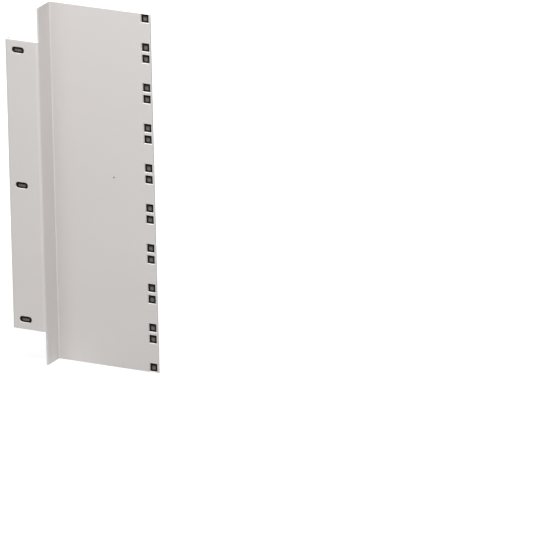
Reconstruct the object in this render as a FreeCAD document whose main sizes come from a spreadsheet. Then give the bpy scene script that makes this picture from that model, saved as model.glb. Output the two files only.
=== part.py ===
# Rack mounting plate: one steel sheet, cut and folded three times.
# A wide panel carries the column of square rack holes, a web steps forward from the panel,
# a shorter flange turns outward from the web, and a short lip stiffens the flange's outer side.
#
# Frame: the origin is the middle slot's centre on the back of the flange, where the plate is screwed on.
# +X runs from the flange towards the rack holes, +Y runs to the back, +Z is up.
import FreeCAD, Part
import os
import Sketcher

# Driving dimensions in millimetres, apart from the two counts.
SIZES = {
    "sheet_thickness": 2.0,
    "bend_radius": 1.5,            # inside of every bend
    "rack_unit": 44.45,            # standard height of one rack unit
    "unit_count": 9,
    "end_clearance": 1.0,          # panel's end to the end of the outermost rack unit
    "panel_width": 120.0,          # web's panel side to the panel's free edge
    "step_depth": 28.0,            # flange's front to the panel's front
    "flange_width": 40.0,          # web's panel side to the lip's outer side
    "lip_depth": 8.0,              # flange's front to the lip's edge
    "hole_side": 9.5,              # square hole for a cage nut
    "hole_unit_offset": 6.35,      # rack unit's end to the nearest hole's centre
    "hole_edge_distance": 6.35,    # panel's free edge to the hole's centre
    "slot_count": 3,
    "slot_pitch": 150.0,
    "slot_length": 15.0,           # end to end, across the flange
    "slot_width": 7.0,
    "slot_edge_distance": 16.0,    # lip's outer side to the slot's centre
    "flange_end_margin": 11.0,     # end slot's centre to the flange's end
}

# Places and lengths worked out from the driving dimensions, as formulas of the sheet.
DERIVED = {
    "outer_radius": "=bend_radius + sheet_thickness",
    "panel_height": "=unit_count * rack_unit - 2 * end_clearance",
    "flange_height": "=(slot_count - 1) * slot_pitch + 2 * flange_end_margin",
    "web_face": "=flange_width - slot_edge_distance",
    "panel_front": "=step_depth - sheet_thickness",
    "free_edge": "=web_face + panel_width",
    "lip_edge": "=lip_depth - sheet_thickness",
    "hole_column": "=free_edge - hole_edge_distance",
    "lowest_unit": "=-unit_count * rack_unit / 2",
    "lower_hole": "=lowest_unit + hole_unit_offset",
    "upper_hole": "=lowest_unit + rack_unit - hole_unit_offset",
    "lowest_slot": "=-(slot_count - 1) * slot_pitch / 2",
    "slot_radius": "=slot_width / 2",
    "slot_straight": "=slot_length - slot_width",
}

START = 1
END = 2
CENTRE = 3
ORIGIN = (-1, 1)


def fill_sheet(doc):
    """Write the sizes and the formulas into the document's spreadsheet, one aliased cell a row."""
    sheet = doc.addObject("Spreadsheet::Sheet", "Sizes")
    for row, (alias, content) in enumerate([*SIZES.items(), *DERIVED.items()], start=1):
        sheet.set(f"A{row}", alias)
        sheet.set(f"B{row}", str(content))
        sheet.setAlias(f"B{row}", alias)
    doc.recompute()
    return sheet


def origin_feature(body, role):
    """Find one of the body's own origin planes or axes."""
    return next(feature for feature in body.Origin.OriginFeatures if feature.Role == role)


def new_sketch(body, name, plane_role):
    """Start an empty sketch on one of the body's origin planes."""
    sketch = body.newObject("Sketcher::SketchObject", name)
    sketch.AttachmentSupport = [(origin_feature(body, plane_role), "")]
    sketch.MapMode = "FlatFace"
    return sketch


def vector(x, y):
    return FreeCAD.Vector(x, y, 0)


def add_line(sketch, start, end):
    return sketch.addGeometry(Part.LineSegment(vector(*start), vector(*end)), False)


def add_arc(sketch, start, middle, end):
    """Add an arc through three points. A sketch keeps its arcs anticlockwise, so start may become its end."""
    index = sketch.addGeometry(Part.Arc(vector(*start), vector(*middle), vector(*end)), False)
    kept_start = sketch.getPoint(index, START)
    turned = kept_start.distanceToPoint(vector(*start)) > kept_start.distanceToPoint(vector(*end))
    return (index, END, START) if turned else (index, START, END)


def bend_middle(centre, radius, start, end):
    """The halfway point of a quarter bend about a centre."""
    towards = vector((start[0] + end[0]) / 2 - centre[0], (start[1] + end[1]) / 2 - centre[1])
    towards.normalize()
    return (centre[0] + radius * towards.x, centre[1] + radius * towards.y)


def add_size(sketch, kind, places, value, formula):
    """Add a dimension and bind it to the sheet."""
    index = sketch.addConstraint(Sketcher.Constraint(kind, *places, value))
    sketch.setExpression(f"Constraints[{index}]", formula)


def join(sketch, first, second):
    sketch.addConstraint(Sketcher.Constraint("Coincident", *first, *second))


def smooth(sketch, first, second):
    sketch.addConstraint(Sketcher.Constraint("Tangent", *first, *second))


def level(sketch, lines):
    for line in lines:
        sketch.addConstraint(Sketcher.Constraint("Horizontal", line))


def upright(sketch, lines):
    for line in lines:
        sketch.addConstraint(Sketcher.Constraint("Vertical", line))


def pad(body, name, sketch, height):
    """Extrude a profile half up and half down from the middle of the plate."""
    feature = body.newObject("PartDesign::Pad", name)
    feature.Profile = sketch
    feature.SideType = "Symmetric"
    feature.setExpression("Length", height)
    return feature


def cut_through(body, name, sketch):
    """Cut a sketch right through the sheet, to the front and to the back."""
    feature = body.newObject("PartDesign::Pocket", name)
    feature.Profile = sketch
    feature.SideType = "Symmetric"
    feature.Type = "ThroughAll"
    return feature


def repeat_upwards(body, name, feature, pitch, count):
    """Repeat a cut up the plate at an even pitch."""
    pattern = body.newObject("PartDesign::LinearPattern", name)
    pattern.Originals = [feature]
    pattern.Direction = (origin_feature(body, "Z_Axis"), [""])
    pattern.Mode = "Spacing"
    pattern.setExpression("Offset", pitch)
    pattern.setExpression("Occurrences", count)
    body.Tip = pattern
    return pattern


def draw_panel_profile(sketch, sheet):
    """Section of the panel, the bend behind the web and the web, up to the start of the flange's bend."""
    inner = sheet.bend_radius
    outer = sheet.outer_radius
    thickness = sheet.sheet_thickness
    front = sheet.panel_front
    back = front + thickness
    edge = sheet.free_edge
    near = sheet.web_face
    far = near - thickness
    centre = (near + inner, front - inner)

    web_near = add_line(sketch, (near, inner), (near, centre[1]))
    inner_from = (near, centre[1])
    inner_to = (centre[0], front)
    inner_arc, inner_start, inner_end = add_arc(
        sketch, inner_from, bend_middle(centre, inner, inner_from, inner_to), inner_to)
    panel_near = add_line(sketch, inner_to, (edge, front))
    panel_edge = add_line(sketch, (edge, front), (edge, back))
    panel_far = add_line(sketch, (edge, back), (centre[0], back))
    outer_from = (centre[0], back)
    outer_to = (far, centre[1])
    outer_arc, outer_start, outer_end = add_arc(
        sketch, outer_from, bend_middle(centre, outer, outer_from, outer_to), outer_to)
    web_far = add_line(sketch, outer_to, (far, inner))
    web_end = add_line(sketch, (far, inner), (near, inner))

    level(sketch, [panel_near, panel_far, web_end])
    upright(sketch, [web_near, panel_edge, web_far])
    smooth(sketch, (web_near, END), (inner_arc, inner_start))
    smooth(sketch, (inner_arc, inner_end), (panel_near, START))
    join(sketch, (panel_near, END), (panel_edge, START))
    join(sketch, (panel_edge, END), (panel_far, START))
    smooth(sketch, (panel_far, END), (outer_arc, outer_start))
    smooth(sketch, (outer_arc, outer_end), (web_far, START))
    join(sketch, (web_far, END), (web_end, START))
    join(sketch, (web_end, END), (web_near, START))

    add_size(sketch, "Radius", (inner_arc,), inner, "Sizes.bend_radius")
    add_size(sketch, "Radius", (outer_arc,), outer, "Sizes.outer_radius")
    add_size(sketch, "DistanceX", (*ORIGIN, web_near, START), near, "Sizes.web_face")
    add_size(sketch, "DistanceY", (*ORIGIN, web_near, START), inner, "Sizes.bend_radius")
    add_size(sketch, "DistanceX", (*ORIGIN, panel_edge, START), edge, "Sizes.free_edge")
    add_size(sketch, "DistanceY", (*ORIGIN, panel_edge, START), front, "Sizes.panel_front")
    add_size(sketch, "DistanceY", (panel_edge, START, panel_edge, END), thickness, "Sizes.sheet_thickness")
    add_size(sketch, "DistanceX", (web_end, START, web_end, END), thickness, "Sizes.sheet_thickness")


def draw_flange_profile(sketch, sheet):
    """Section of the flange's bend, the flange, the lip's bend and the lip."""
    inner = sheet.bend_radius
    outer = sheet.outer_radius
    thickness = sheet.sheet_thickness
    near = sheet.web_face
    far = near - thickness
    outside = -sheet.slot_edge_distance
    inside = outside + thickness
    tip = sheet.lip_edge
    web_centre = (near - outer, inner)
    lip_centre = (outside + outer, inner)

    web_end = add_line(sketch, (far, inner), (near, inner))
    first_from = (near, inner)
    first_to = (web_centre[0], -thickness)
    web_outer, web_outer_start, web_outer_end = add_arc(
        sketch, first_from, bend_middle(web_centre, outer, first_from, first_to), first_to)
    second_from = (lip_centre[0], -thickness)
    second_to = (outside, inner)
    front = add_line(sketch, first_to, second_from)
    lip_outer, lip_outer_start, lip_outer_end = add_arc(
        sketch, second_from, bend_middle(lip_centre, outer, second_from, second_to), second_to)
    lip_far = add_line(sketch, second_to, (outside, tip))
    lip_end = add_line(sketch, (outside, tip), (inside, tip))
    lip_near = add_line(sketch, (inside, tip), (inside, inner))
    third_from = (inside, inner)
    third_to = (lip_centre[0], 0)
    lip_inner, lip_inner_start, lip_inner_end = add_arc(
        sketch, third_from, bend_middle(lip_centre, inner, third_from, third_to), third_to)
    fourth_from = (web_centre[0], 0)
    fourth_to = (far, inner)
    back = add_line(sketch, third_to, fourth_from)
    web_inner, web_inner_start, web_inner_end = add_arc(
        sketch, fourth_from, bend_middle(web_centre, inner, fourth_from, fourth_to), fourth_to)

    level(sketch, [web_end, front, lip_end, back])
    upright(sketch, [lip_far, lip_near])
    join(sketch, (web_end, END), (web_outer, web_outer_start))
    smooth(sketch, (web_outer, web_outer_end), (front, START))
    smooth(sketch, (front, END), (lip_outer, lip_outer_start))
    smooth(sketch, (lip_outer, lip_outer_end), (lip_far, START))
    join(sketch, (lip_far, END), (lip_end, START))
    join(sketch, (lip_end, END), (lip_near, START))
    smooth(sketch, (lip_near, END), (lip_inner, lip_inner_start))
    smooth(sketch, (lip_inner, lip_inner_end), (back, START))
    smooth(sketch, (back, END), (web_inner, web_inner_start))
    join(sketch, (web_inner, web_inner_end), (web_end, START))
    # The bend leaves the web squarely, so both its arcs are centred on the web's end.
    sketch.addConstraint(Sketcher.Constraint("PointOnObject", web_outer, CENTRE, web_end))
    sketch.addConstraint(Sketcher.Constraint("PointOnObject", web_inner, CENTRE, web_end))

    add_size(sketch, "DistanceX", (*ORIGIN, web_end, END), near, "Sizes.web_face")
    add_size(sketch, "DistanceY", (*ORIGIN, web_end, END), inner, "Sizes.bend_radius")
    add_size(sketch, "DistanceX", (web_end, START, web_end, END), thickness, "Sizes.sheet_thickness")
    add_size(sketch, "DistanceY", (front, START, *ORIGIN), thickness, "Sizes.sheet_thickness")
    sketch.addConstraint(Sketcher.Constraint("PointOnObject", back, START, -1))
    add_size(sketch, "DistanceX", (lip_end, START, *ORIGIN), -outside, "Sizes.slot_edge_distance")
    add_size(sketch, "DistanceY", (*ORIGIN, lip_end, START), tip, "Sizes.lip_edge")
    add_size(sketch, "DistanceX", (lip_end, START, lip_end, END), thickness, "Sizes.sheet_thickness")
    add_size(sketch, "Radius", (lip_outer,), outer, "Sizes.outer_radius")
    add_size(sketch, "Radius", (lip_inner,), inner, "Sizes.bend_radius")


def draw_square(sketch, sheet, height, height_formula):
    """One square rack hole in the hole column, with its centre at a height."""
    side = sheet.hole_side
    left = sheet.hole_column - side / 2
    right = left + side
    bottom = height - side / 2
    top = bottom + side
    corners = [(left, bottom), (right, bottom), (right, top), (left, top)]
    sides = [add_line(sketch, corners[i], corners[(i + 1) % 4]) for i in range(4)]
    for i in range(4):
        join(sketch, (sides[i], END), (sides[(i + 1) % 4], START))
    level(sketch, [sides[0], sides[2]])
    upright(sketch, [sides[1], sides[3]])
    sketch.addConstraint(Sketcher.Constraint("Equal", sides[0], sides[1]))
    add_size(sketch, "DistanceX", (sides[0], START, sides[0], END), side, "Sizes.hole_side")
    add_size(sketch, "DistanceX", (*ORIGIN, sides[0], START), left, "Sizes.hole_column - Sizes.hole_side / 2")
    add_size(sketch, "DistanceY", (sides[0], START, *ORIGIN), -bottom,
             f"Sizes.hole_side / 2 - Sizes.{height_formula}")


def draw_slot(sketch, sheet):
    """The lowest slot of the flange, centred over the origin."""
    radius = sheet.slot_radius
    reach = sheet.slot_straight / 2
    height = sheet.lowest_slot
    lower = add_line(sketch, (-reach, height - radius), (reach, height - radius))
    right, right_start, right_end = add_arc(
        sketch, (reach, height - radius), (reach + radius, height), (reach, height + radius))
    upper = add_line(sketch, (reach, height + radius), (-reach, height + radius))
    left, left_start, left_end = add_arc(
        sketch, (-reach, height + radius), (-reach - radius, height), (-reach, height - radius))
    level(sketch, [lower])
    smooth(sketch, (lower, END), (right, right_start))
    smooth(sketch, (right, right_end), (upper, START))
    smooth(sketch, (upper, END), (left, left_start))
    smooth(sketch, (left, left_end), (lower, START))
    sketch.addConstraint(Sketcher.Constraint("Equal", right, left))
    add_size(sketch, "Radius", (right,), radius, "Sizes.slot_radius")
    add_size(sketch, "DistanceX", (left, CENTRE, right, CENTRE), 2 * reach, "Sizes.slot_straight")
    add_size(sketch, "DistanceX", (*ORIGIN, right, CENTRE), reach, "Sizes.slot_straight / 2")
    add_size(sketch, "DistanceY", (right, CENTRE, *ORIGIN), -height, "-Sizes.lowest_slot")


def make_plate(doc, sheet):
    """Fold the sheet, then cut the rack holes and the slots."""
    body = doc.addObject("PartDesign::Body", "mounting_plate")

    panel_profile = new_sketch(body, "panel_profile", "XY_Plane")
    draw_panel_profile(panel_profile, sheet)
    pad(body, "panel_and_web", panel_profile, "Sizes.panel_height")

    flange_profile = new_sketch(body, "flange_profile", "XY_Plane")
    draw_flange_profile(flange_profile, sheet)
    pad(body, "flange_and_lip", flange_profile, "Sizes.flange_height")
    doc.recompute()
    folded = body.Shape.Volume

    rack_holes = new_sketch(body, "rack_hole_pair", "XZ_Plane")
    draw_square(rack_holes, sheet, sheet.lower_hole, "lower_hole")
    draw_square(rack_holes, sheet, sheet.upper_hole, "upper_hole")
    rack_hole_cut = cut_through(body, "rack_hole_cut", rack_holes)
    doc.recompute()
    repeat_upwards(body, "rack_hole_column", rack_hole_cut, "Sizes.rack_unit", "Sizes.unit_count")
    doc.recompute()
    drilled = body.Shape.Volume

    slot = new_sketch(body, "lowest_slot", "XZ_Plane")
    draw_slot(slot, sheet)
    slot_cut = cut_through(body, "slot_cut", slot)
    doc.recompute()
    repeat_upwards(body, "slot_row", slot_cut, "Sizes.slot_pitch", "Sizes.slot_count")
    doc.recompute()

    if not body.Shape.Volume < drilled < folded:
        raise RuntimeError("a row of holes or slots cuts nothing")
    return body


def check(doc, plates):
    """Stop before anything is written if a feature failed or a shape is unusable."""
    for item in doc.Objects:
        if "Invalid" in item.State or "Error" in item.State:
            raise RuntimeError(f"{item.Name} failed: {item.State}")
    for plate in plates:
        if plate.Shape.isNull() or not plate.Shape.isValid():
            raise RuntimeError(f"{plate.Label} has no valid shape")


doc = FreeCAD.newDocument("rack_mounting_plate")
sizes = fill_sheet(doc)
plates = [make_plate(doc, sizes)]
check(doc, plates)
os.makedirs("parts", exist_ok=True)
for plate in plates:
    plate.Shape.exportStep(f"parts/{plate.Label}.step")
    print(plate.Label, len(plate.Shape.Solids), "solid", round(plate.Shape.Volume), "mm3", plate.Shape.BoundBox)
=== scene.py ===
import math

import bmesh
import bpy
from mathutils import Matrix, Vector


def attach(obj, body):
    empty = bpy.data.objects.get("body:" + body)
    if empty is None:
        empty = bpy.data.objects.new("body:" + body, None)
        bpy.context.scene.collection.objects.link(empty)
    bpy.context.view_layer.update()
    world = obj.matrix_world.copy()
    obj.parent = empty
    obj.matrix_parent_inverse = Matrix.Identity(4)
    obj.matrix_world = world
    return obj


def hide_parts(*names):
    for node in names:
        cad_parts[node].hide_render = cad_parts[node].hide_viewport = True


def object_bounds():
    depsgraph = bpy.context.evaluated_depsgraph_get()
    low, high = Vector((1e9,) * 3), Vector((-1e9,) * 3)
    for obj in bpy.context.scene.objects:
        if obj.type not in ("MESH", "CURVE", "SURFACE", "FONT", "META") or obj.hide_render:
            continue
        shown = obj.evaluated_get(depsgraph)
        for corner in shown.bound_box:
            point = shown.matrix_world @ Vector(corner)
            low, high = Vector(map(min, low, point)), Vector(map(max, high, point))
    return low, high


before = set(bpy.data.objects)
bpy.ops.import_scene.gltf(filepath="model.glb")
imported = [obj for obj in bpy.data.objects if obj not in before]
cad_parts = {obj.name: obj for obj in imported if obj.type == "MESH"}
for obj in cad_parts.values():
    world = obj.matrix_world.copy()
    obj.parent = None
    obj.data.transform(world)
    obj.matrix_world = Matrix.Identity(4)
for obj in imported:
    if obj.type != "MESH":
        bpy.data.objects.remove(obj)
cadLow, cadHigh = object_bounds()
plateMiddle = (cadLow + cadHigh) / 2
print("frame loaded:", ", ".join(sorted(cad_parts)))


# One socket of a node tree. Sums on it add Math nodes, and node() adds any other node.
class Strand:
    def __init__(self, tree, socket=None):
        self.tree = tree
        self.socket = socket

    def node(self, kind, settings=None, sockets=None, out=0):
        made = self.tree.nodes.new(kind)
        for name, value in (settings or {}).items():
            if name == "cases":                      # an Index Switch starts with two
                for extra in range(value - 2):
                    made.index_switch_items.new()
            else:
                setattr(made, name, value)
        for name, value in (sockets or {}).items():
            for item in value if isinstance(value, list) else [value]:
                if isinstance(item, Strand):
                    self.tree.links.new(item.socket, made.inputs[name])
                else:
                    made.inputs[name].default_value = item
        return Strand(self.tree, made.outputs[out] if made.outputs else None)

    def out(self, name):
        return Strand(self.tree, self.socket.node.outputs[name])

    def maths(self, operation, *values):
        return self.node("ShaderNodeMath", {"operation": operation}, dict(enumerate(values)))

    def __add__(self, other):
        return self.maths("ADD", self, other)

    def __radd__(self, other):
        return self.maths("ADD", other, self)

    def __sub__(self, other):
        return self.maths("SUBTRACT", self, other)

    def __rsub__(self, other):
        return self.maths("SUBTRACT", other, self)

    def __mul__(self, other):
        return self.maths("MULTIPLY", self, other)

    def __rmul__(self, other):
        return self.maths("MULTIPLY", other, self)

    def __truediv__(self, other):
        return self.maths("DIVIDE", self, other)

    def __rtruediv__(self, other):
        return self.maths("DIVIDE", other, self)

    def __floordiv__(self, other):
        return (self / other).floor()

    def __rfloordiv__(self, other):
        return (other / self).floor()

    def __mod__(self, other):
        return self.maths("FLOORED_MODULO", self, other)

    def __rmod__(self, other):
        return self.maths("FLOORED_MODULO", other, self)

    def __neg__(self):
        return self.maths("MULTIPLY", self, -1.0)

    def __abs__(self):
        return self.maths("ABSOLUTE", self)

    def __lt__(self, other):
        return self.maths("LESS_THAN", self, other)

    def __gt__(self, other):
        return self.maths("GREATER_THAN", self, other)

    def floor(self):
        return self.maths("FLOOR", self)

    def most(self, other):
        return self.maths("MAXIMUM", self, other)

    def least(self, other):
        return self.maths("MINIMUM", self, other)


def newMaterial(name):
    material = bpy.data.materials.new(name)
    material.use_nodes = True
    material.node_tree.nodes.clear()
    return material, Strand(material.node_tree)


def mixColours(start, share, first, second, how="MIX"):
    settings = {"data_type": "RGBA", "blend_type": how}
    return start.node("ShaderNodeMix", settings, {0: share, 6: first, 7: second}, 2)    # the colour sockets


def distance(start, place, point):
    return start.node("ShaderNodeVectorMath", {"operation": "DISTANCE"}, {0: place, 1: point}, "Value")


# Goes from one value to another while the given one goes from low to high.
def fade(start, value, low, high, atLow, atHigh, how="SMOOTHSTEP"):
    return start.node("ShaderNodeMapRange", {"interpolation_type": how}, {
        "Value": value, "From Min": low, "From Max": high, "To Min": atLow, "To Max": atHigh})


# Powder coat on the whole plate. Lengths are in metres, and a noise's Scale is per metre.
paintLook = {
    "colour": (0.612, 0.584, 0.570, 1.0),
    "mottle": {"Scale": 11.0, "Detail": 3.0, "Roughness": 0.55},     # slow change over the sheet
    "mottleTone": 0.018,        # share by which it lifts or lowers the colour
    "grain": {"Scale": 1500.0, "Detail": 2.0, "Roughness": 0.6},     # fine powder
    "grainTone": 0.022,
    "peel": {"Scale": 520.0, "Detail": 2.0, "Roughness": 0.45},      # waviness of the coat
    "peelDepth": 0.00003,
    "grainBump": 0.25,          # height of the grain, as a share of the waviness
    "bumpStrength": 0.35,
    "roughness": 0.44,
    "roughnessChange": 0.06,
    "speckPlace": (0.0961, 0.026, 0.0131),   # small dark mark on the panel's front
    "speckRadius": 0.0014,
    "speckCore": 0.35,          # share of the radius that is dark throughout
    "speckRagged": 0.0006,      # how far the grain moves its outline
    "speckStrength": 0.9,
    "speckColour": (0.10, 0.085, 0.075, 1.0),
}


def makePaint():
    look = paintLook
    material, start = newMaterial("powderCoat")
    place = start.node("ShaderNodeTexCoord", out="Object")

    def noise(name):            # swings about zero
        return start.node("ShaderNodeTexNoise", None, {"Vector": place, **look[name]}) - 0.5

    mottle = noise("mottle")
    grain = noise("grain")
    peel = noise("peel")
    tone = 1.0 + mottle * (2 * look["mottleTone"]) + grain * (2 * look["grainTone"])
    grey = start.node("ShaderNodeCombineColor", None, {0: tone, 1: tone, 2: tone})
    coat = mixColours(start, 1.0, look["colour"], grey, "MULTIPLY")
    fromSpeck = distance(start, place, look["speckPlace"]) + grain * look["speckRagged"]
    speck = fade(start, fromSpeck, look["speckRadius"] * look["speckCore"], look["speckRadius"], 1.0, 0.0)
    bump = start.node("ShaderNodeBump", None, {
        "Strength": look["bumpStrength"],
        "Distance": look["peelDepth"],
        "Height": peel + grain * look["grainBump"],
    })
    shader = start.node("ShaderNodeBsdfPrincipled", None, {
        "Base Color": mixColours(start, speck * look["speckStrength"], coat, look["speckColour"]),
        "Roughness": look["roughness"] + (mottle + grain) * look["roughnessChange"],
        "Normal": bump,
    })
    start.node("ShaderNodeOutputMaterial", None, {"Surface": shader})
    return material


paint = makePaint()
print("paint made")

# The folded plate, in metres. A size here is the one on the part's own drawing.
foldedPlate = {
    "edgeRadius": 0.00025,          # rounding of the painted cut edges
    "edgeSteps": 2,
    "edgeAngle": 40.0,              # an edge is a cut one from here on, in degrees
    "sizes": {
        "Sheet Thickness": 0.002,
        "Bend Radius": 0.0015,      # inside of every bend
        "Bend Steps": 10,
        "Rack Unit": 0.04445,
        "Rack Units": 9,
        "End Clearance": 0.001,
        "Panel Width": 0.120,
        "Step Depth": 0.028,
        "Flange Width": 0.040,
        "Lip Depth": 0.008,
        "Hole Side": 0.0095,
        "Hole Offset": 0.00635,
        "Hole Edge Distance": 0.00635,
        "Slots": 3,
        "Slot Pitch": 0.150,
        "Slot Length": 0.015,
        "Slot Width": 0.007,
        "Slot Edge Distance": 0.016,
        "Slot Steps": 7,            # facets of a quarter of a slot's end
        "Flange End Margin": 0.011,
        "Tolerance": 0.00001,       # points this close are one
    },
}


def makePlateTree():
    tree = bpy.data.node_groups.new("foldedPlate", "GeometryNodeTree")
    for name, value in foldedPlate["sizes"].items():
        kind = "NodeSocketInt" if isinstance(value, int) else "NodeSocketFloat"
        tree.interface.new_socket(name, in_out="INPUT", socket_type=kind)
    tree.interface.new_socket("Finish", in_out="INPUT", socket_type="NodeSocketMaterial")
    tree.interface.new_socket("Plate", in_out="OUTPUT", socket_type="NodeSocketGeometry")
    start = Strand(tree)
    size = start.node("NodeGroupInput").out
    index = start.node("GeometryNodeInputIndex")
    place = start.node("GeometryNodeInputPosition")

    half = size("Sheet Thickness") / 2
    bend = size("Bend Radius")
    unit = size("Rack Unit")
    side = size("Hole Side")
    pitch = size("Slot Pitch")
    webMid = size("Flange Width") - size("Slot Edge Distance") - half
    panelMid = size("Step Depth") - half
    flangeMid = -half
    lipMid = half - size("Slot Edge Distance")
    freeEdge = webMid + half + size("Panel Width")
    holeColumn = freeEdge - size("Hole Edge Distance")
    slotHalf = size("Slot Length") / 2
    slotRadius = size("Slot Width") / 2
    slotReach = slotHalf - slotRadius
    lowestUnit = size("Rack Units") * unit * -0.5
    lowestSlot = (size("Slots") - 1) * pitch * -0.5
    panelTop = -lowestUnit - size("End Clearance")
    flangeTop = size("Flange End Margin") - lowestSlot

    def point(x=0.0, y=0.0, z=0.0):
        return start.node("ShaderNodeCombineXYZ", None, {0: x, 1: y, 2: z})

    def choose(kind, number, cases):
        return start.node("GeometryNodeIndexSwitch", {"data_type": kind, "cases": len(cases)},
                          {0: number, **{i + 1: case for i, case in enumerate(cases)}})

    def moved(shape, position):
        return start.node("GeometryNodeSetPosition", None, {"Geometry": shape, "Position": position})

    def line(count, position):
        return moved(start.node("GeometryNodeMeshLine", None, {"Count": count}), position)

    def grid(columns, rows):
        return start.node("GeometryNodeMeshGrid", None, {"Vertices X": columns, "Vertices Y": rows})

    def merged(shape):
        return start.node("GeometryNodeMergeByDistance", None, {
            "Geometry": shape, "Distance": size("Tolerance")})

    def withoutFaces(shape, chosen):
        return start.node("GeometryNodeDeleteGeometry", {"domain": "FACE"}, {
            "Geometry": shape, "Selection": chosen})

    def joined(shapes):
        return start.node("GeometryNodeJoinGeometry", None, {0: shapes})

    def pointCount(shape):
        return start.node("GeometryNodeAttributeDomainSize", None, {0: shape})

    def pointOf(shape, number):
        return start.node("GeometryNodeSampleIndex", {"data_type": "FLOAT_VECTOR"}, {
            "Geometry": shape, "Value": place, "Index": number})

    split = start.node("ShaderNodeSeparateXYZ", None, {0: place})
    x, y, z = split, split.out(1), split.out(2)

    # the sheet's middle line, from the lip's edge to the panel's free edge
    turns = [
        point(lipMid, size("Lip Depth") - size("Sheet Thickness")),
        point(lipMid, flangeMid),
        point(-slotHalf, flangeMid),
        point(-slotReach, flangeMid),
        point(slotReach, flangeMid),
        point(slotHalf, flangeMid),
        point(webMid, flangeMid),
        point(webMid, panelMid),
        point(holeColumn - side / 2, panelMid),
        point(holeColumn + side / 2, panelMid),
        point(freeEdge, panelMid),
    ]
    profile = start.node("GeometryNodeMeshToCurve", None, {
        0: line(len(turns), choose("VECTOR", index, turns))})
    profile = start.node("GeometryNodeFilletCurve", {"mode": "POLY"}, {
        "Curve": profile, "Count": size("Bend Steps"), "Radius": bend + half})
    profile = merged(start.node("GeometryNodeCurveToMesh", None, {"Curve": profile}))

    # the heights at which the sheet has an edge of a hole, an end, or an edge or the middle of a slot
    edgesInUnit = [
        size("Hole Offset") - side / 2,
        size("Hole Offset") + side / 2,
        unit - size("Hole Offset") - side / 2,
        unit - size("Hole Offset") + side / 2,
    ]
    inUnit = len(edgesInUnit)
    holeHeights = lowestUnit + (index // inUnit) * unit + choose("FLOAT", index % inUnit, edgesInUnit)
    slotHeights = lowestSlot + (index // 3) * pitch + (index % 3 - 1) * slotRadius
    lowOrHigh = index * 2 - 1
    rows = joined([
        line(size("Rack Units") * inUnit, point(z=holeHeights)),
        line(2, point(z=panelTop * lowOrHigh)),
        line(2, point(z=flangeTop * lowOrHigh)),
        line(size("Slots") * 3, point(z=slotHeights)),
    ])
    rows = start.node("GeometryNodeSortElements", {"domain": "POINT"}, {"Geometry": rows, "Sort Weight": z})

    # the sheet as a grid of those heights along the middle line
    rowCount = pointCount(rows)
    spot = start.node("ShaderNodeVectorMath", {"operation": "ADD"}, {
        0: pointOf(profile, index // rowCount), 1: pointOf(rows, index % rowCount)})
    sheet = moved(grid(pointCount(profile), rowCount), spot)

    # cut the flange's ends, the rack holes and the slots out of it
    onFlange = (-x).most(bend - y) > size("Tolerance")
    pastFlange = onFlange * (abs(z) > flangeTop)
    upUnit = (z - lowestUnit) % unit
    fromEnd = upUnit.least(unit - upUnit)
    inHole = abs(x - holeColumn).most(abs(fromEnd - size("Hole Offset"))) < side / 2
    fromSlot = (z - lowestSlot + pitch / 2) % pitch - pitch / 2
    inSlot = (abs(x) < slotHalf) * (abs(fromSlot) < slotRadius)
    sheet = withoutFaces(sheet, pastFlange.most(inHole).most(inSlot))

    # fill the four corners of each slot up to its round ends
    quarterTurn = math.pi / 2
    columns = size("Slot Steps") + 1
    column = index // 2
    quarter = column // columns
    angle = (quarter + (column % columns) / size("Slot Steps")) * quarterTurn
    middle = (quarter + 0.5) * quarterTurn
    rightLeft = start.maths("SIGN", start.maths("COSINE", middle))
    upDown = start.maths("SIGN", start.maths("SINE", middle))
    roundX = rightLeft * slotReach + start.maths("COSINE", angle) * slotRadius
    roundZ = start.maths("SINE", angle) * slotRadius
    outside = 1 - index % 2
    cornerX = roundX + (rightLeft * slotHalf - roundX) * outside
    cornerZ = roundZ + (upDown * slotRadius - roundZ) * outside
    corners = moved(grid(columns * 4, 2), point(cornerX, flangeMid, cornerZ))
    corners = withoutFaces(corners, (index + 1) % columns < 0.5)     # those between two corners
    corners = start.node("GeometryNodeInstanceOnPoints", None, {
        "Points": line(size("Slots"), point(z=lowestSlot + index * pitch)), "Instance": corners})

    plate = start.node("GeometryNodeRealizeInstances", None, {"Geometry": joined([sheet, corners])})
    plate = start.node("GeometryNodeSetShadeSmooth", None, {0: merged(plate), "Shade Smooth": True})
    plate = start.node("GeometryNodeSetMaterial", None, {"Geometry": plate, "Material": size("Finish")})
    start.node("NodeGroupOutput", None, {0: plate})
    return tree


def makePlate():
    plate = bpy.data.objects.new("foldedPlate", bpy.data.meshes.new("foldedPlate"))
    bpy.context.collection.objects.link(plate)
    tree = makePlateTree()
    folding = plate.modifiers.new("folding", "NODES")
    folding.node_group = tree
    for item in tree.interface.items_tree:
        if item.in_out == "INPUT":
            folding[item.identifier] = paint if item.name == "Finish" else foldedPlate["sizes"][item.name]
    wall = plate.modifiers.new("wall", "SOLIDIFY")
    wall.thickness = foldedPlate["sizes"]["Sheet Thickness"]
    wall.offset = 0.0
    wall.use_even_offset = True
    edges = plate.modifiers.new("edges", "BEVEL")
    edges.limit_method = "ANGLE"
    edges.angle_limit = math.radians(foldedPlate["edgeAngle"])
    edges.width = foldedPlate["edgeRadius"]
    edges.segments = foldedPlate["edgeSteps"]
    flats = plate.modifiers.new("flats", "WEIGHTED_NORMAL")
    flats.keep_sharp = True
    graph = bpy.context.evaluated_depsgraph_get()
    mesh = bpy.data.meshes.new_from_object(plate.evaluated_get(graph), depsgraph=graph)
    plate.modifiers.clear()
    plate.data = mesh
    return plate


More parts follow.
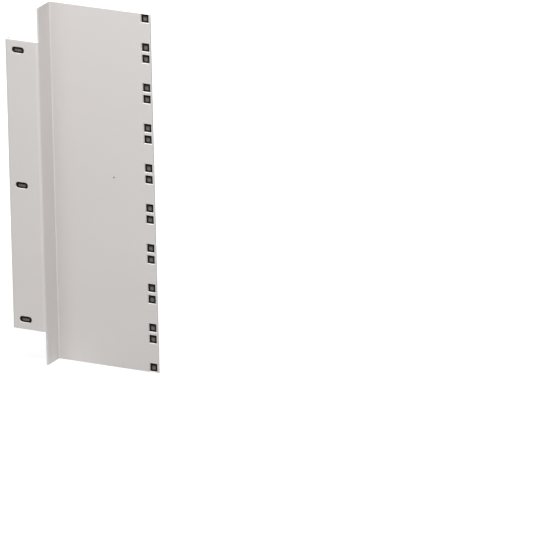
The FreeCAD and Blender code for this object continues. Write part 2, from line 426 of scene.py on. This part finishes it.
plate = makePlate()
check = bmesh.new()
check.from_mesh(plate.data)
openEdges = sum(not edge.is_manifold for edge in check.edges)
print("plate folded:", len(plate.data.polygons), "faces,", openEdges, "open edges,",
      round(check.calc_volume(signed=True) * 1000 ** 3), "mm3")
check.free()
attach(plate, "root")
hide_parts("mounting_plate")

# Floor and pale backdrop, in metres.
stage = {
    "floorSize": 24.0,
    "floorGap": 0.0001,         # below the plate
    "floorColour": (0.40, 0.40, 0.40, 1.0),     # what it throws back at the plate
    "footColour": (0.63, 0.63, 0.63, 1.0),      # the same, close to the foot of the fold
    "footPlace": (0.04, 0.005),
    "footReach": (0.01, 0.06),
    "floorShade": (0.28, 0.28, 0.28, 1.0),      # share of it in the picture that takes the shadow
    "nearLift": (0.74, 0.74, 0.74, 1.0),        # light of its own in the picture, round the plate
    "farLift": (0.90, 0.90, 0.90, 1.0),         # and further off
    "liftReach": (0.25, 0.90),
    "world": 0.30,
}


def seenDirectly(start):
    path = start.node("ShaderNodeLightPath")
    return path.most(path.out("Is Glossy Ray")).most(path.out("Is Transmission Ray"))


def matt(start, colour, more=None):
    sockets = {"Base Color": colour, "Roughness": 1.0, "Specular IOR Level": 0.0}
    return start.node("ShaderNodeBsdfPrincipled", None, {**sockets, **(more or {})})


def makeFloor():
    material, start = newMaterial("paleFloor")
    place = start.node("ShaderNodeTexCoord", out="Object")
    fromFoot = distance(start, place, (*stage["footPlace"], cadLow.z))
    foot = fade(start, fromFoot, *stage["footReach"], 1.0, 0.0)
    plain = matt(start, mixColours(start, foot, stage["floorColour"], stage["footColour"]))
    fromPlate = distance(start, place, (plateMiddle.x, plateMiddle.y, cadLow.z))
    far = fade(start, fromPlate, *stage["liftReach"], 0.0, 1.0, "LINEAR")
    glow = mixColours(start, far, stage["nearLift"], stage["farLift"])
    lifted = matt(start, stage["floorShade"], {"Emission Color": glow, "Emission Strength": 1.0})
    floorLook = start.node("ShaderNodeMixShader", None, {0: seenDirectly(start), 1: plain, 2: lifted})
    start.node("ShaderNodeOutputMaterial", None, {"Surface": floorLook})
    reach = stage["floorSize"] / 2
    level = cadLow.z - stage["floorGap"]
    corners = [(x * reach, y * reach, level) for x, y in ((-1, -1), (1, -1), (1, 1), (-1, 1))]
    mesh = bpy.data.meshes.new("floor")
    mesh.from_pydata(corners, [], [(0, 1, 2, 3)])
    mesh.materials.append(material)
    floor = bpy.data.objects.new("floor", mesh)
    bpy.context.collection.objects.link(floor)


def makeWorld():
    world = bpy.data.worlds.new("studio")
    bpy.context.scene.world = world
    world.use_nodes = True
    world.node_tree.nodes.clear()
    start = Strand(world.node_tree)
    seen = seenDirectly(start)
    background = start.node("ShaderNodeBackground", None, {
        "Color": (1.0, 1.0, 1.0, 1.0), "Strength": stage["world"] + seen * (1.0 - stage["world"])})
    start.node("ShaderNodeOutputWorld", None, {"Surface": background})


makeFloor()
makeWorld()

# Soft boxes round the plate's middle: side and distance in metres, angles in degrees, power in watts.
softBoxes = {
    "side": 0.8,
    "distance": 1.25,
    "lamps": {
        "above": {"azimuth": 25.0, "elevation": 70.0, "power": 15.0},
        "front": {"azimuth": 25.0, "elevation": 10.0, "power": 3.64},
        "right": {"azimuth": 75.0, "elevation": 10.0, "power": 1.55},
        "left": {"azimuth": -25.0, "elevation": 10.0, "power": 1.68},
        "farLeft": {"azimuth": -75.0, "elevation": 40.0, "power": 0.90},
        "behind": {"azimuth": 210.0, "elevation": 35.0, "power": 11.0},
    },
}


# Azimuth 0 is in front of the plate, and 90 on the side of its rack holes.
def direction(azimuth, elevation):
    a, e = math.radians(azimuth), math.radians(elevation)
    return Vector((math.sin(a) * math.cos(e), -math.cos(a) * math.cos(e), math.sin(e)))


def makeLamp(name, azimuth, elevation, power):
    lamp = bpy.data.lights.new(name, "AREA")
    lamp.shape = "SQUARE"
    lamp.size = softBoxes["side"]
    lamp.energy = power
    light = bpy.data.objects.new(name, lamp)
    towards = direction(azimuth, elevation)
    light.location = plateMiddle + towards * softBoxes["distance"]
    light.rotation_euler = towards.to_track_quat("Z", "Y").to_euler()
    light.visible_camera = False
    bpy.context.collection.objects.link(light)


for name, lamp in softBoxes["lamps"].items():
    makeLamp(name, **lamp)
print("stage and light set")

# What is seen through the openings: a dim card inside each, for a darker backdrop, with a painted shadow of
# the opening's walls on its dark rim and a painted pool of light falling through the opening on its paler
# middle.
# It is clear from behind.
dimCards = {
    # The dark rim is painted shade of the opening's walls, and the paler middle is painted light falling
    # through the opening.
    "rim": (0.013, 0.012, 0.011, 1.0),
    "middle": (0.170, 0.163, 0.157, 1.0),
    "shadedRimWidth": 0.40,           # dark share of the way to the middle
    "steps": 24,                # points round a card
    "clearance": 0.00002,       # to the wall of the opening
    # depth behind the sheet's front, share of the middle's tone,
    # and the radius of the pale middle of painted light, the length between its round ends, and its shift in
    # X and Z
    "hole": {"depth": 0.0019, "pale": 1.0, "radius": 0.0009, "length": 0.0, "shift": (-0.0004, -0.0009)},
    "slot": {"depth": 0.0011, "pale": 0.84, "radius": 0.0006, "length": 0.0054, "shift": (0.0, -0.0004)},
}


def makeCardLook():
    material, start = newMaterial("dimCard")
    pale = start.node("ShaderNodeAttribute", {"attribute_name": "pale"}, None, "Fac")
    # Painted shade at the card's rim, fading to painted light in its middle.
    share = fade(start, pale, dimCards["shadedRimWidth"], 1.0, 0.0, 1.0)
    card = matt(start, mixColours(start, share, dimCards["rim"], dimCards["middle"]))
    clear = start.node("ShaderNodeBsdfTransparent")
    behind = start.node("ShaderNodeNewGeometry", out="Backfacing")
    start.node("ShaderNodeOutputMaterial", None, {
        "Surface": start.node("ShaderNodeMixShader", None, {0: behind, 1: card, 2: clear})})
    return material


def makeCards():
    s = foldedPlate["sizes"]
    points, tones, faces = [], [], []

    def turn(ahead):            # directions round a card, the first one that share of a step on
        angles = [math.tau * (i + ahead) / dimCards["steps"] for i in range(dimCards["steps"])]
        return [(math.cos(angle), math.sin(angle)) for angle in angles]

    def addCard(place, opening, directions, rim):
        straight = opening["length"] / 2
        shiftX, shiftZ = opening["shift"]
        core = [(math.copysign(straight, c) + opening["radius"] * c + shiftX, opening["radius"] * d + shiftZ)
                for c, d in directions]
        first, count = len(points), len(rim)
        points.extend(place + Vector((x, opening["depth"], z)) for x, z in rim + core)
        # The outer ring takes the painted shade, and the inner ring the painted light.
        tones.extend([0.0] * count + [opening["pale"]] * count)
        faces.append(tuple(range(first + count, first + 2 * count)))
        for i in range(count):
            j = (i + 1) % count
            faces.append((first + i, first + j, first + count + j, first + count + i))

    directions = turn(0.0)
    reach = s["Hole Side"] / 2 - dimCards["clearance"]
    rim = [(reach * c / max(abs(c), abs(d)), reach * d / max(abs(c), abs(d))) for c, d in directions]
    column = s["Flange Width"] - s["Slot Edge Distance"] + s["Panel Width"] - s["Hole Edge Distance"]
    panelFront = s["Step Depth"] - s["Sheet Thickness"]
    for unit in range(s["Rack Units"]):
        bottom = (unit - s["Rack Units"] / 2) * s["Rack Unit"]
        for height in (bottom + s["Hole Offset"], bottom + s["Rack Unit"] - s["Hole Offset"]):
            addCard(Vector((column, panelFront, height)), dimCards["hole"], directions, rim)

    directions = turn(0.5)
    reach = s["Slot Width"] / 2 - dimCards["clearance"]
    straight = (s["Slot Length"] - s["Slot Width"]) / 2
    rim = [(math.copysign(straight, c) + reach * c, reach * d) for c, d in directions]
    flangeFront = -s["Sheet Thickness"]
    for slot in range(s["Slots"]):
        height = (slot - (s["Slots"] - 1) / 2) * s["Slot Pitch"]
        addCard(Vector((0.0, flangeFront, height)), dimCards["slot"], directions, rim)

    mesh = bpy.data.meshes.new("dimCards")
    mesh.from_pydata(points, [], faces)
    mesh.attributes.new("pale", "FLOAT", "POINT").data.foreach_set("value", tones)
    mesh.materials.append(makeCardLook())
    cards = bpy.data.objects.new("dimCards", mesh)
    cards.visible_shadow = False
    cards.visible_diffuse = False
    cards.visible_glossy = False
    cards.visible_transmission = False
    bpy.context.collection.objects.link(cards)
    print("cards set in", s["Rack Units"] * 2, "holes and", s["Slots"], "slots")


makeCards()

# Camera at the photograph's viewing angle.
# Angles are in degrees, the lens and the sensor in millimetres, and the rest in metres.
cameraView = {
    "azimuth": 27.689,
    "elevation": 18.686,
    "roll": 1.228,
    "aim": (0.25004, 0.10492, -0.10393),     # what lies at the middle of the picture
    "distance": 11.24114,
    "lens": 682.312,
    "sensorWidth": 36.0,
    "clipEnd": 60.0,
}


def makeCamera():
    v = cameraView
    azimuth = math.radians(v["azimuth"])
    roll = math.radians(v["roll"])
    back = direction(v["azimuth"], v["elevation"])
    level = Vector((math.cos(azimuth), math.sin(azimuth), 0.0))
    upright = back.cross(level)
    right = level * math.cos(roll) - upright * math.sin(roll)
    up = level * math.sin(roll) + upright * math.cos(roll)
    data = bpy.data.cameras.new("camera")
    data.sensor_fit = "HORIZONTAL"
    data.sensor_width = v["sensorWidth"]
    data.lens = v["lens"]
    data.clip_end = v["clipEnd"]
    camera = bpy.data.objects.new("camera", data)
    turn = Matrix((right, up, back)).transposed().to_4x4()
    camera.matrix_world = Matrix.Translation(Vector(v["aim"]) + back * v["distance"]) @ turn
    bpy.context.collection.objects.link(camera)
    bpy.context.scene.camera = camera


makeCamera()
bpy.context.scene.view_settings.view_transform = "Standard"
print("camera set")
